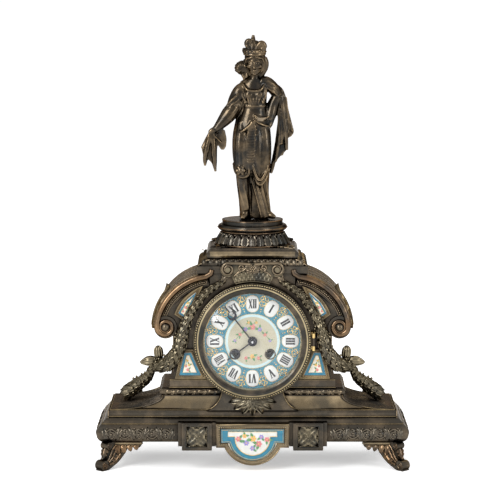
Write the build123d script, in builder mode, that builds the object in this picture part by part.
"""Figural mantel clock: a cast bronze case with porcelain plaques, a standing figure and a striking movement.

Frame: millimetres, +Z up, front facing -Y, origin on the table under the middle of the four feet.
Distances towards the viewer are measured from the mid plane, so a piece at front distance f stands at y = -f.
"""

import math
import os

from build123d import *

os.makedirs("parts", exist_ok=True)

# Overall sizes
PLINTH_WIDTH = 312.0
PLINTH_DEPTH = 112.0
BODY_WIDTH = 158.0
BODY_DEPTH = 80.0
FOOT_HEIGHT = 28.0
WALL = 5.0
OVERRUN = 1.0
SEAT_GAP = 0.3

# Plinth mouldings, from the bottom up
BOLSTER_HEIGHT = 18.0
BOLSTER_BULGE = 5.0
COVE_HEIGHT = 6.0
COVE_SETBACK = 11.5
SLAB_HEIGHT = 7.0
SLAB_ROUND = 3.0
SLAB_FRONT = PLINTH_DEPTH / 2 - COVE_SETBACK
PLINTH_TOP = FOOT_HEIGHT + BOLSTER_HEIGHT + COVE_HEIGHT + SLAB_HEIGHT

# Shoulder stage that sweeps up from the plinth to the case body
STAGE_FOOT_WIDTH = 276.0
STAGE_FOOT_DEPTH = BODY_DEPTH + 5.0
STAGE_SWEEP_HEIGHT = 14.0
LEAF_BAND_HEIGHT = 8.0
LEAF_BAND_BULGE = 3.0
STAGE_CAP_HEIGHT = 8.0
STAGE_NECK_WIDTH = 180.0
STAGE_NECK_DEPTH = BODY_DEPTH - 3.0
STAGE_CAP_WIDTH = 166.0
STAGE_CAP_DEPTH = BODY_DEPTH + 2.0
STAGE_TOP = PLINTH_TOP + STAGE_SWEEP_HEIGHT + LEAF_BAND_HEIGHT + STAGE_CAP_HEIGHT

# Case body and drum
BODY_SIDE_HEIGHT = 44.0
BODY_WALL = 4.0
FACE = BODY_DEPTH / 2
BEZEL_RADIUS = 58.5
BEZEL_CLEARANCE = 1.2
BEZEL_OVER_PLINTH = 11.5
DIAL_HEIGHT = PLINTH_TOP + BEZEL_OVER_PLINTH + BEZEL_RADIUS
DRUM_BORE_RADIUS = 47.0
DRUM_ROOF = 21.0
BODY_TOP = DIAL_HEIGHT + DRUM_BORE_RADIUS + DRUM_ROOF

# Pendulum well through the stage and the plinth
WELL_WIDTH = 70.0
WELL_DEPTH = 50.0


def front(distance):
    """Upright plane at a front distance, drawn in X and Z, whose extrusions grow towards the viewer."""
    return Plane.XZ.offset(distance)


def drum_axis(x=0, z=0):
    """Axis along the depth through a point measured from the middle of the dial."""
    return Axis((x, 0, DIAL_HEIGHT + z), (0, 1, 0))


def save(piece, name):
    """Label a finished piece and write it as one STEP file."""
    piece.part.label = name
    export_step(piece.part, f"parts/{name}.step")


def plinth_outline(half):
    """Closed moulding outline of one half of the plinth, for its half width."""
    z0 = FOOT_HEIGHT
    z1 = z0 + BOLSTER_HEIGHT
    z2 = z1 + COVE_HEIGHT
    z3 = z2 + SLAB_HEIGHT
    inner = half - BOLSTER_BULGE
    slab = half - COVE_SETBACK
    with BuildLine() as outline:
        Line((0, z0), (inner, z0))
        ThreePointArc((inner, z0), (half, (z0 + z1) / 2), (inner, z1))
        RadiusArc((inner, z1), (slab, z2), -COVE_SETBACK)
        Line((slab, z2), (slab, z3 - SLAB_ROUND))
        RadiusArc((slab, z3 - SLAB_ROUND), (slab - SLAB_ROUND, z3), -SLAB_ROUND)
        Line((slab - SLAB_ROUND, z3), (0, z3))
        Line((0, z3), (0, z0))
    return outline.line


def moulded(outline, width, depth):
    """Block whose front and end views both follow one moulding outline, mitred at its corners."""
    with BuildPart() as block:
        with BuildSketch(Plane.XZ):
            add(outline(width / 2))
            make_face()
            mirror(about=Plane.YZ)
        extrude(amount=depth, both=True)
        with BuildSketch(Plane.YZ):
            add(outline(depth / 2))
            make_face()
            mirror(about=Plane.YZ)
        extrude(amount=width, both=True, mode=Mode.INTERSECT)
    return block.part


# Lugs in the corners of the plinth take the screws of the feet
FOOT_SCREW_X = 130.0
FOOT_SCREW_Y = 32.5
FOOT_SCREW_RADIUS = 2.0
FOOT_SCREW_GRIP = 12.0
FOOT_LUG = 26.0

# Plinth: hollow casting, open underneath, with a well for the pendulum
with BuildPart() as plinth:
    add(moulded(plinth_outline, PLINTH_WIDTH, PLINTH_DEPTH))
    with BuildSketch(Plane.XY.offset(FOOT_HEIGHT)):
        Rectangle(PLINTH_WIDTH - 2 * (COVE_SETBACK + WALL), PLINTH_DEPTH - 2 * (COVE_SETBACK + WALL))
        with GridLocations(2 * FOOT_SCREW_X, 2 * FOOT_SCREW_Y, 2, 2):
            Rectangle(FOOT_LUG, FOOT_LUG, mode=Mode.SUBTRACT)
    extrude(amount=PLINTH_TOP - FOOT_HEIGHT - WALL, mode=Mode.SUBTRACT)
    with BuildSketch(Plane.XY.offset(FOOT_HEIGHT)):
        with GridLocations(2 * FOOT_SCREW_X, 2 * FOOT_SCREW_Y, 2, 2):
            Circle(FOOT_SCREW_RADIUS)
    extrude(amount=FOOT_SCREW_GRIP, mode=Mode.SUBTRACT)
    with BuildSketch(Plane.XY.offset(FOOT_HEIGHT)):
        Rectangle(WELL_WIDTH, WELL_DEPTH)
    extrude(amount=PLINTH_TOP, mode=Mode.SUBTRACT)
save(plinth, "plinth")


def stage_outline(foot, neck, cap):
    """Closed outline of one half of the shoulder stage, for its half widths at foot, neck and cap."""
    z1 = PLINTH_TOP + STAGE_SWEEP_HEIGHT
    z2 = z1 + LEAF_BAND_HEIGHT
    with BuildLine() as outline:
        Line((0, PLINTH_TOP), (foot, PLINTH_TOP))
        EllipticalCenterArc((foot, z1), foot - neck, STAGE_SWEEP_HEIGHT, start_angle=180, arc_size=90)
        ThreePointArc((neck, z1), (neck + LEAF_BAND_BULGE, (z1 + z2) / 2), (neck, z2))
        Line((neck, z2), (cap, z2))
        Line((cap, z2), (cap, STAGE_TOP))
        Line((cap, STAGE_TOP), (0, STAGE_TOP))
        Line((0, STAGE_TOP), (0, PLINTH_TOP))
    return outline.line


# Shoulder stage: the swept ends carry the garlands and the top carries the case body
with BuildPart() as shoulder_stage:
    with BuildSketch(Plane.XZ):
        add(stage_outline(STAGE_FOOT_WIDTH / 2, STAGE_NECK_WIDTH / 2, STAGE_CAP_WIDTH / 2))
        make_face()
        mirror(about=Plane.YZ)
    extrude(amount=STAGE_FOOT_DEPTH, both=True)
    with BuildSketch(Plane.YZ):
        add(stage_outline(STAGE_FOOT_DEPTH / 2, STAGE_NECK_DEPTH / 2, STAGE_CAP_DEPTH / 2))
        make_face()
        mirror(about=Plane.YZ)
    extrude(amount=STAGE_FOOT_WIDTH, both=True, mode=Mode.INTERSECT)
    with BuildSketch(Plane.XY.offset(PLINTH_TOP)):
        Rectangle(WELL_WIDTH, WELL_DEPTH)
    extrude(amount=STAGE_TOP, mode=Mode.SUBTRACT)
    with BuildSketch(Plane.XZ):
        with Locations((0, DIAL_HEIGHT)):
            Circle(DRUM_BORE_RADIUS)
    extrude(amount=STAGE_FOOT_DEPTH, both=True, mode=Mode.SUBTRACT)
    for seat in (front(FACE), front(-FACE - STAGE_FOOT_DEPTH)):
        with BuildSketch(seat):
            with Locations((0, DIAL_HEIGHT)):
                Circle(BEZEL_RADIUS + BEZEL_CLEARANCE)
        extrude(amount=STAGE_FOOT_DEPTH, mode=Mode.SUBTRACT)
save(shoulder_stage, "shoulder_stage")

# Scroll arches: a wide band that springs from the neck and curls into a volute over each shoulder
ARCH_SPRING = (-47.0, 196.5)
ARCH_CROWN = (-83.0, 178.0)
VOLUTE_CENTRE = (-87.0, 142.5)
VOLUTE_RADIUS = 11.3
ARCH_THICKNESS = 12.5
ROLL_RADIUS = 3.2
ROLL_PROUD = 2.0
VOLUTE_EYE_RADIUS = 4.2
VOLUTE_EYE_PROUD = 3.0
VOLUTE_GROOVE_RADIUS = 8.4
VOLUTE_GROOVE_WIDTH = 1.6
VOLUTE_GROOVE_DEPTH = 1.5
ARCH_FOOT = (VOLUTE_CENTRE[0] - VOLUTE_RADIUS, VOLUTE_CENTRE[1] + VOLUTE_RADIUS / 2)
SPRING_INNER = (ARCH_SPRING[0] + ARCH_THICKNESS / 3, ARCH_SPRING[1] - ARCH_THICKNESS)
CROWN_INNER = (ARCH_CROWN[0] + ARCH_THICKNESS * 0.7, ARCH_CROWN[1] - ARCH_THICKNESS * 0.7)
FOOT_INNER = (ARCH_FOOT[0] + ARCH_THICKNESS, ARCH_FOOT[1])


def arch_outline():
    """Closed outline of the arch band, from its spring beside the neck down to the volute."""
    with BuildLine() as outline:
        ThreePointArc(ARCH_SPRING, ARCH_CROWN, ARCH_FOOT)
        Line(ARCH_FOOT, FOOT_INNER)
        ThreePointArc(FOOT_INNER, CROWN_INNER, SPRING_INNER)
        Line(SPRING_INNER, ARCH_SPRING)
    return outline.line


# Left arch with its roll moulding and volute, then its mirror image on the right
with BuildPart() as scroll_left:
    with BuildSketch(front(-FACE)):
        add(arch_outline())
        make_face()
        with Locations(VOLUTE_CENTRE):
            Circle(VOLUTE_RADIUS)
    extrude(amount=BODY_DEPTH)
    with BuildSketch(front(FACE)):
        with BuildLine() as rim:
            ThreePointArc(ARCH_SPRING, ARCH_CROWN, ARCH_FOOT)
        offset(rim.line, amount=ROLL_RADIUS)
        with Locations(VOLUTE_CENTRE):
            Circle(VOLUTE_RADIUS)
        with Locations(VOLUTE_CENTRE):
            Circle(VOLUTE_GROOVE_RADIUS, mode=Mode.SUBTRACT)
            Circle(VOLUTE_GROOVE_RADIUS - VOLUTE_GROOVE_WIDTH)
    extrude(amount=ROLL_PROUD)
    with BuildSketch(front(FACE)):
        with Locations(VOLUTE_CENTRE):
            Circle(VOLUTE_EYE_RADIUS)
    extrude(amount=VOLUTE_EYE_PROUD + ROLL_PROUD)
    fillet(faces().sort_by(Axis.Y)[0].edges(), VOLUTE_EYE_RADIUS / 2)
save(scroll_left, "scroll_left")
with BuildPart() as scroll_right:
    add(mirror(scroll_left.part, about=Plane.YZ, mode=Mode.PRIVATE))
save(scroll_right, "scroll_right")

# Case body: hollow casting under the arches, bored front and back for the movement
ARCH_GAP = 0.4
with BuildPart() as case_body:
    with BuildSketch(front(-FACE)):
        with BuildLine():
            side_top = (-BODY_WIDTH / 2, STAGE_TOP + BODY_SIDE_HEIGHT)
            shoulder = (FOOT_INNER[0] + ARCH_GAP, VOLUTE_CENTRE[1] + VOLUTE_RADIUS)
            crown = (CROWN_INNER[0] + ARCH_GAP, CROWN_INNER[1] - ARCH_GAP)
            spring = (SPRING_INNER[0] + ARCH_GAP, SPRING_INNER[1] - ARCH_GAP)
            Polyline((0, STAGE_TOP), (-BODY_WIDTH / 2, STAGE_TOP), side_top)
            Line(side_top, shoulder)
            ThreePointArc(shoulder, crown, spring)
            Polyline(spring, (spring[0], BODY_TOP), (0, BODY_TOP), (0, STAGE_TOP))
        make_face()
        with Locations(VOLUTE_CENTRE):
            Circle(VOLUTE_RADIUS + ARCH_GAP, mode=Mode.SUBTRACT)
        mirror(about=Plane.YZ)
    extrude(amount=BODY_DEPTH)
    with BuildSketch(front(-FACE + BODY_WALL)):
        with Locations((0, DIAL_HEIGHT)):
            Circle(DRUM_BORE_RADIUS + BODY_WALL)
        with Locations((0, (STAGE_TOP + DIAL_HEIGHT) / 2)):
            Rectangle(WELL_WIDTH, DIAL_HEIGHT - STAGE_TOP)
    extrude(amount=BODY_DEPTH - 2 * BODY_WALL, mode=Mode.SUBTRACT)
    with BuildSketch(front(-FACE)):
        with Locations((0, DIAL_HEIGHT)):
            Circle(DRUM_BORE_RADIUS)
    extrude(amount=BODY_DEPTH, mode=Mode.SUBTRACT)
    with BuildSketch(Plane.XY.offset(STAGE_TOP)):
        Rectangle(WELL_WIDTH, WELL_DEPTH)
    extrude(amount=DIAL_HEIGHT - STAGE_TOP, mode=Mode.SUBTRACT)
    add(scroll_left.part, mode=Mode.SUBTRACT)
    add(scroll_right.part, mode=Mode.SUBTRACT)
save(case_body, "case_body")

# Neck block: moulded stack between the arches and the figure's pedestal
NECK_FOOT_HEIGHT = 7.0
NECK_OVOLO_HEIGHT = 7.0
NECK_BOLSTER_HEIGHT = 9.0
NECK_CAP_HEIGHT = 1.5
NECK_BOLSTER_BULGE = 2.5
NECK_WIDTHS = (110.0, 102.0, 86.0, 82.0)
NECK_DEPTHS = (BODY_DEPTH + 4.0, BODY_DEPTH + 2.0, BODY_DEPTH - 2.0, BODY_DEPTH - 3.0)
NECK_TOP = BODY_TOP + NECK_FOOT_HEIGHT + NECK_OVOLO_HEIGHT + NECK_BOLSTER_HEIGHT + NECK_CAP_HEIGHT


def neck_outline(spans):
    """Closed outline of one half of the neck block, for its spans at foot, ovolo, bolster and cap."""
    foot, ovolo, bolster, cap = (span / 2 for span in spans)
    z1 = BODY_TOP + NECK_FOOT_HEIGHT
    z2 = z1 + NECK_OVOLO_HEIGHT
    z3 = z2 + NECK_BOLSTER_HEIGHT
    with BuildLine() as outline:
        Polyline((0, BODY_TOP), (foot, BODY_TOP), (foot, z1), (ovolo, z1))
        EllipticalCenterArc((bolster, z1), ovolo - bolster, NECK_OVOLO_HEIGHT, start_angle=0, arc_size=90)
        ThreePointArc((bolster, z2), (bolster + NECK_BOLSTER_BULGE, (z2 + z3) / 2), (bolster, z3))
        Polyline((bolster, z3), (cap, z3), (cap, NECK_TOP), (0, NECK_TOP), (0, BODY_TOP))
    return outline.line


STUD_RADIUS = 3.0
STUD_CLEARANCE = 0.2
NUT_HEIGHT = 5.0
NUT_RADIUS = 6.0
NUT_POCKET = 12.0
with BuildPart() as neck_block:
    with BuildSketch(Plane.XZ):
        add(neck_outline(NECK_WIDTHS))
        make_face()
        mirror(about=Plane.YZ)
    extrude(amount=NECK_DEPTHS[0], both=True)
    with BuildSketch(Plane.YZ):
        add(neck_outline(NECK_DEPTHS))
        make_face()
        mirror(about=Plane.YZ)
    extrude(amount=NECK_WIDTHS[0], both=True, mode=Mode.INTERSECT)
    with Locations((0, 0, NECK_TOP)):
        Hole(STUD_RADIUS + STUD_CLEARANCE)
    with BuildSketch(Plane.XY.offset(BODY_TOP)):
        Circle(NUT_RADIUS + WALL)
    extrude(amount=NUT_POCKET, mode=Mode.SUBTRACT)
save(neck_block, "neck_block")

# Round pedestal under the figure: flared cavetto, fillet, reeded torus and a rounded plate
PEDESTAL_FOOT_RADIUS = 38.0
PEDESTAL_WAIST_RADIUS = 30.0
PEDESTAL_FILLET_RADIUS = 31.2
PEDESTAL_TORUS_RADIUS = 35.0
PEDESTAL_PLATE_RADIUS = 30.6
PEDESTAL_LIP = 1.5
PEDESTAL_CAVETTO_HEIGHT = 11.5
PEDESTAL_FILLET_HEIGHT = 2.0
PEDESTAL_TORUS_HEIGHT = 5.5
PEDESTAL_PLATE_HEIGHT = 5.0
CAVETTO_TOP = NECK_TOP + PEDESTAL_LIP + PEDESTAL_CAVETTO_HEIGHT
TORUS_FOOT = CAVETTO_TOP + PEDESTAL_FILLET_HEIGHT
TORUS_TOP = TORUS_FOOT + PEDESTAL_TORUS_HEIGHT
PEDESTAL_TOP = TORUS_TOP + PEDESTAL_PLATE_HEIGHT
with BuildPart() as pedestal:
    with BuildSketch(Plane.XZ):
        with BuildLine():
            Polyline(
                (STUD_RADIUS + STUD_CLEARANCE, NECK_TOP),
                (PEDESTAL_FOOT_RADIUS, NECK_TOP),
                (PEDESTAL_FOOT_RADIUS, NECK_TOP + PEDESTAL_LIP),
            )
            EllipticalCenterArc(
                (PEDESTAL_FOOT_RADIUS, CAVETTO_TOP),
                PEDESTAL_FOOT_RADIUS - PEDESTAL_WAIST_RADIUS,
                PEDESTAL_CAVETTO_HEIGHT,
                start_angle=180,
                arc_size=90,
            )
            Polyline(
                (PEDESTAL_WAIST_RADIUS, CAVETTO_TOP),
                (PEDESTAL_FILLET_RADIUS, CAVETTO_TOP),
                (PEDESTAL_FILLET_RADIUS, TORUS_FOOT),
            )
            ThreePointArc(
                (PEDESTAL_FILLET_RADIUS, TORUS_FOOT),
                (PEDESTAL_TORUS_RADIUS, (TORUS_FOOT + TORUS_TOP) / 2),
                (PEDESTAL_PLATE_RADIUS, TORUS_TOP),
            )
            Polyline(
                (PEDESTAL_PLATE_RADIUS, TORUS_TOP),
                (PEDESTAL_PLATE_RADIUS, PEDESTAL_TOP),
                (STUD_RADIUS + STUD_CLEARANCE, PEDESTAL_TOP),
                (STUD_RADIUS + STUD_CLEARANCE, NECK_TOP),
            )
        make_face()
    revolve(axis=Axis.Z)
    plate_rim = edges().filter_by(GeomType.CIRCLE).group_by(Axis.Z)[-1].sort_by(SortBy.RADIUS)[-1]
    fillet(plate_rim, PEDESTAL_LIP)
save(pedestal, "pedestal")

# Console: the flared bracket under the bezel, with a leaf pendant on its face
CONSOLE_PROUD = 6.0
CONSOLE_OVERHANG = 1.5
CONSOLE_FRONT = max(FACE + CONSOLE_PROUD, SLAB_FRONT + CONSOLE_OVERHANG)
CONSOLE_FOOT_WIDTH = 92.0
CONSOLE_NECK_WIDTH = 59.0
CONSOLE_TOP = 86.0
with BuildPart() as console:
    with BuildSketch(front(0)):
        with BuildLine():
            foot_end = (CONSOLE_FOOT_WIDTH / 2, PLINTH_TOP)
            neck_end = (CONSOLE_NECK_WIDTH / 2, CONSOLE_TOP)
            EllipticalCenterArc(
                (foot_end[0], neck_end[1]),
                foot_end[0] - neck_end[0],
                CONSOLE_TOP - PLINTH_TOP,
                start_angle=180,
                arc_size=90,
            )
            Polyline(neck_end, (0, CONSOLE_TOP), (0, PLINTH_TOP), foot_end)
        make_face()
        with Locations((0, DIAL_HEIGHT)):
            Circle(BEZEL_RADIUS + BEZEL_CLEARANCE, mode=Mode.SUBTRACT)
        mirror(about=Plane.YZ)
    extrude(amount=CONSOLE_FRONT)
    add(shoulder_stage.part, mode=Mode.SUBTRACT)
    with BuildSketch(Plane.XY.offset(PLINTH_TOP)):
        Rectangle(STAGE_FOOT_WIDTH, STAGE_NECK_DEPTH)
    extrude(amount=CONSOLE_TOP, mode=Mode.SUBTRACT)
save(console, "console")
PENDANT_CENTRE = 72.0
PENDANT_LEAVES = 7
PENDANT_LEAF_LENGTH = 18.5
PENDANT_LEAF_WIDTH = 6.5
PENDANT_SPREAD = 150.0
PENDANT_PROUD = 4.0
PENDANT_CROWN_RADIUS = 7.0
with BuildPart() as leaf_pendant:
    with BuildSketch(front(CONSOLE_FRONT)):
        with Locations((0, PENDANT_CENTRE)):
            Circle(PENDANT_CROWN_RADIUS)
        for leaf in range(PENDANT_LEAVES):
            turn = PENDANT_SPREAD * (leaf / (PENDANT_LEAVES - 1) - 0.5)
            lean = math.radians(turn - 90)
            reach = PENDANT_LEAF_LENGTH / 2
            with Locations((reach * math.cos(lean), PENDANT_CENTRE + reach * math.sin(lean))):
                Ellipse(PENDANT_LEAF_LENGTH / 2, PENDANT_LEAF_WIDTH / 2, rotation=turn - 90)
        with Locations((0, DIAL_HEIGHT)):
            Circle(BEZEL_RADIUS + BEZEL_CLEARANCE, mode=Mode.SUBTRACT)
    extrude(amount=PENDANT_PROUD)
save(leaf_pendant, "leaf_pendant")

# Crest: scrolled cartouche over the dial
CREST_VOLUTE = (24.5, 201.5)
CREST_VOLUTE_RADIUS = 7.3
CREST_PROUD = 7.0
CREST_TOP = 208.0
CREST_EYE_RADIUS = 2.6
CREST_EYE_PROUD = 3.0
with BuildPart() as crest:
    with BuildSketch(front(FACE)):
        with BuildLine():
            Polyline(
                (0, CREST_TOP),
                (CREST_VOLUTE[0], CREST_TOP),
                CREST_VOLUTE,
                (CREST_VOLUTE[0] - CREST_VOLUTE_RADIUS, DIAL_HEIGHT + BEZEL_RADIUS),
                (0, DIAL_HEIGHT + BEZEL_RADIUS),
                close=True,
            )
        make_face()
        with Locations(CREST_VOLUTE):
            Circle(CREST_VOLUTE_RADIUS)
        mirror(about=Plane.YZ)
        with Locations((0, DIAL_HEIGHT)):
            Circle(BEZEL_RADIUS + BEZEL_CLEARANCE, mode=Mode.SUBTRACT)
    extrude(amount=CREST_PROUD)
    with BuildSketch(front(FACE)):
        with Locations(CREST_VOLUTE, (-CREST_VOLUTE[0], CREST_VOLUTE[1])):
            Circle(CREST_EYE_RADIUS)
    extrude(amount=CREST_PROUD + CREST_EYE_PROUD)
    add(neck_block.part, mode=Mode.SUBTRACT)
save(crest, "crest")

# Porcelain plaques let into beaded frames, two on each side of the dial
PLAQUE_THICKNESS = 2.5
PLAQUE_FRAME_WIDTH = 3.2
PLAQUE_FRAME_PROUD = 3.5
PLAQUE_GAP = 0.15
LOWER_PLAQUE = ((-73.5, 94.0), (-51.5, 94.0), (-61.5, 117.0), (-68.0, 117.0))
UPPER_PLAQUE_TIP = (-56.0, 178.0)
UPPER_PLAQUE_BULGE = (-68.0, 167.5)
UPPER_PLAQUE_HEEL = (-74.0, 157.0)
UPPER_PLAQUE_TOE = (-67.5, 152.5)


def lower_plaque_edge():
    """Closed edge of the left lower plaque."""
    with BuildLine() as edge:
        Polyline(*LOWER_PLAQUE, close=True)
    return edge.line


def upper_plaque_edge():
    """Closed edge of the left upper plaque, curved to follow the arch."""
    with BuildLine() as edge:
        ThreePointArc(UPPER_PLAQUE_TIP, UPPER_PLAQUE_BULGE, UPPER_PLAQUE_HEEL)
        Polyline(UPPER_PLAQUE_HEEL, UPPER_PLAQUE_TOE, UPPER_PLAQUE_TIP)
    return edge.line


def plaque(edge):
    """Porcelain plaque that lies on the face of the body."""
    with BuildPart() as tile:
        with BuildSketch(front(FACE)):
            add(edge)
            make_face()
        extrude(amount=PLAQUE_THICKNESS)
    return tile.part


def plaque_frame(edge, *cutters):
    """Metal frame around a plaque, with a small gap to the porcelain, cut back by its neighbours."""
    with BuildPart() as frame:
        with BuildSketch(front(FACE)):
            add(edge)
            make_face()
            offset(amount=PLAQUE_FRAME_WIDTH, kind=Kind.INTERSECTION)
        extrude(amount=PLAQUE_FRAME_PROUD)
        with BuildSketch(front(FACE)):
            add(edge)
            make_face()
            offset(amount=PLAQUE_GAP, kind=Kind.INTERSECTION)
        extrude(amount=PLAQUE_FRAME_PROUD, mode=Mode.SUBTRACT)
        with BuildSketch(front(FACE)):
            with Locations((0, DIAL_HEIGHT)):
                Circle(BEZEL_RADIUS + BEZEL_CLEARANCE)
        extrude(amount=PLAQUE_FRAME_PROUD, mode=Mode.SUBTRACT)
        for cutter in cutters:
            add(cutter, mode=Mode.SUBTRACT)
    return frame.part


PLAQUE_EDGES = (lower_plaque_edge(), upper_plaque_edge())
with BuildPart() as side_plaques:
    for edge in PLAQUE_EDGES:
        add(plaque(edge))
    mirror(about=Plane.YZ)
save(side_plaques, "side_plaques")
with BuildPart() as plaque_frames:
    for edge in PLAQUE_EDGES:
        add(plaque_frame(edge, scroll_left.part))
    mirror(about=Plane.YZ)
save(plaque_frames, "plaque_frames")

# Rosette blocks on the front of the plinth, each with a four-petal rosette let into its panel
ROSETTE_X = 55.5
ROSETTE_BLOCK_WIDTH = 30.0
ROSETTE_BLOCK_TOP = 49.0
ROSETTE_BLOCK_HEIGHT = 27.5
ROSETTE_BLOCK_PROUD = 6.0
ROSETTE_PANEL = 21.0
ROSETTE_PANEL_DEPTH = 2.5
ROSETTE_PETALS = 4
ROSETTE_PETAL_LENGTH = 11.0
ROSETTE_PETAL_WIDTH = 6.0
ROSETTE_THICKNESS = 2.0
ROSETTE_HEART_RADIUS = 2.6
PILASTER_WIDTH = 37.6
PILASTER_HEIGHT = 24.0
PILASTER_PROUD = 3.0
PLINTH_FACE = PLINTH_DEPTH / 2
ROSETTE_Z = ROSETTE_BLOCK_TOP - ROSETTE_BLOCK_HEIGHT / 2
PILASTER_Z = ROSETTE_BLOCK_TOP - PILASTER_HEIGHT / 2
with BuildPart() as rosette_blocks:
    with BuildSketch(front(PLINTH_FACE - COVE_SETBACK)):
        with Locations((-ROSETTE_X, PILASTER_Z), (ROSETTE_X, PILASTER_Z)):
            Rectangle(PILASTER_WIDTH, PILASTER_HEIGHT)
    extrude(amount=COVE_SETBACK + PILASTER_PROUD)
    with BuildSketch(front(PLINTH_FACE - COVE_SETBACK)):
        with Locations((-ROSETTE_X, ROSETTE_Z), (ROSETTE_X, ROSETTE_Z)):
            Rectangle(ROSETTE_BLOCK_WIDTH, ROSETTE_BLOCK_HEIGHT)
    extrude(amount=COVE_SETBACK + ROSETTE_BLOCK_PROUD)
    with BuildSketch(front(PLINTH_FACE + ROSETTE_BLOCK_PROUD - ROSETTE_PANEL_DEPTH)):
        with Locations((-ROSETTE_X, ROSETTE_Z), (ROSETTE_X, ROSETTE_Z)):
            Rectangle(ROSETTE_PANEL, ROSETTE_PANEL)
    extrude(amount=ROSETTE_PANEL_DEPTH, mode=Mode.SUBTRACT)
    add(plinth.part, mode=Mode.SUBTRACT)
save(rosette_blocks, "rosette_blocks")
with BuildPart() as rosettes:
    with BuildSketch(front(PLINTH_FACE + ROSETTE_BLOCK_PROUD - ROSETTE_PANEL_DEPTH)):
        for x in (-ROSETTE_X, ROSETTE_X):
            for petal in range(ROSETTE_PETALS):
                turn = 45 + 360 * petal / ROSETTE_PETALS
                reach = ROSETTE_PETAL_LENGTH / 2
                place = (x + reach * math.cos(math.radians(turn)), ROSETTE_Z + reach * math.sin(math.radians(turn)))
                with Locations(place):
                    Ellipse(ROSETTE_PETAL_LENGTH / 2, ROSETTE_PETAL_WIDTH / 2, rotation=turn)
    extrude(amount=ROSETTE_THICKNESS)
    with BuildSketch(front(PLINTH_FACE + ROSETTE_BLOCK_PROUD - ROSETTE_PANEL_DEPTH)):
        with Locations((-ROSETTE_X, ROSETTE_Z), (ROSETTE_X, ROSETTE_Z)):
            Circle(ROSETTE_HEART_RADIUS)
    extrude(amount=ROSETTE_PANEL_DEPTH)
save(rosettes, "rosettes")

# Apron: shaped frame below the dial with a porcelain plaque
APRON_WIDTH = 73.0
APRON_TOP = 48.0
APRON_STEP_Z = 24.0
APRON_DROP_WIDTH = 56.0
APRON_BOTTOM = 6.0
APRON_PROUD = 5.0
APRON_BORDER = 5.0


def apron_edge():
    """Closed edge of the apron: a straight top with a round drop in the middle."""
    half = APRON_WIDTH / 2
    drop = APRON_DROP_WIDTH / 2
    with BuildLine() as edge:
        Polyline((-drop, APRON_STEP_Z), (-half, APRON_STEP_Z), (-half, APRON_TOP), (half, APRON_TOP),
                 (half, APRON_STEP_Z), (drop, APRON_STEP_Z))
        ThreePointArc((drop, APRON_STEP_Z), (0, APRON_BOTTOM), (-drop, APRON_STEP_Z))
    return edge.line


with BuildPart() as apron_frame:
    with BuildSketch(front(PLINTH_FACE - COVE_SETBACK)):
        add(apron_edge())
        make_face()
    extrude(amount=COVE_SETBACK + APRON_PROUD)
    with BuildSketch(front(PLINTH_FACE + APRON_PROUD - PLAQUE_THICKNESS)):
        add(apron_edge())
        make_face()
        offset(amount=-APRON_BORDER, kind=Kind.INTERSECTION)
    extrude(amount=PLAQUE_THICKNESS, mode=Mode.SUBTRACT)
    add(plinth.part, mode=Mode.SUBTRACT)
save(apron_frame, "apron_frame")
with BuildPart() as apron_plaque:
    with BuildSketch(front(PLINTH_FACE + APRON_PROUD - PLAQUE_THICKNESS)):
        add(apron_edge())
        make_face()
        offset(amount=-APRON_BORDER - PLAQUE_GAP, kind=Kind.INTERSECTION)
    extrude(amount=PLAQUE_THICKNESS - PLAQUE_GAP)
save(apron_plaque, "apron_plaque")

# Corner feet: a scrolled leg set on the diagonal, with a leaf bracket along each side of the plinth
TOE_X = 150.5
TOE_Y = 55.5
TOE_RADIUS = 5.0
TOE_SOLE = 4.0
FOOT_THICKNESS = 10.0
FOOT_PLATE_HEIGHT = 3.5
FOOT_WING_LENGTH = 30.0
FOOT_WING_THICKNESS = 8.0
FOOT_WING_LEAF_RADII = (5.5, 5.0, 4.2)
FOOT_WING_LEAF_STEP = 8.0
FOOT_HEEL = (30.0, 18.0)
FOOT_CALF = (8.8, 22.0)
FOOT_SHIN = (10.0, 11.0)
FOOT_INSTEP = (12.0, 3.5)
FOOT_BACK = (38.0, FOOT_HEIGHT)
FOOT_VOLUTE = (6.0, 24.2)
FOOT_VOLUTE_RADIUS = 3.6
SCREW_HEAD_RADIUS = 3.8
SCREW_HEAD_HEIGHT = 2.5
FOOT_SCREW_BACK = FOOT_HEIGHT - FOOT_PLATE_HEIGHT


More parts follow.
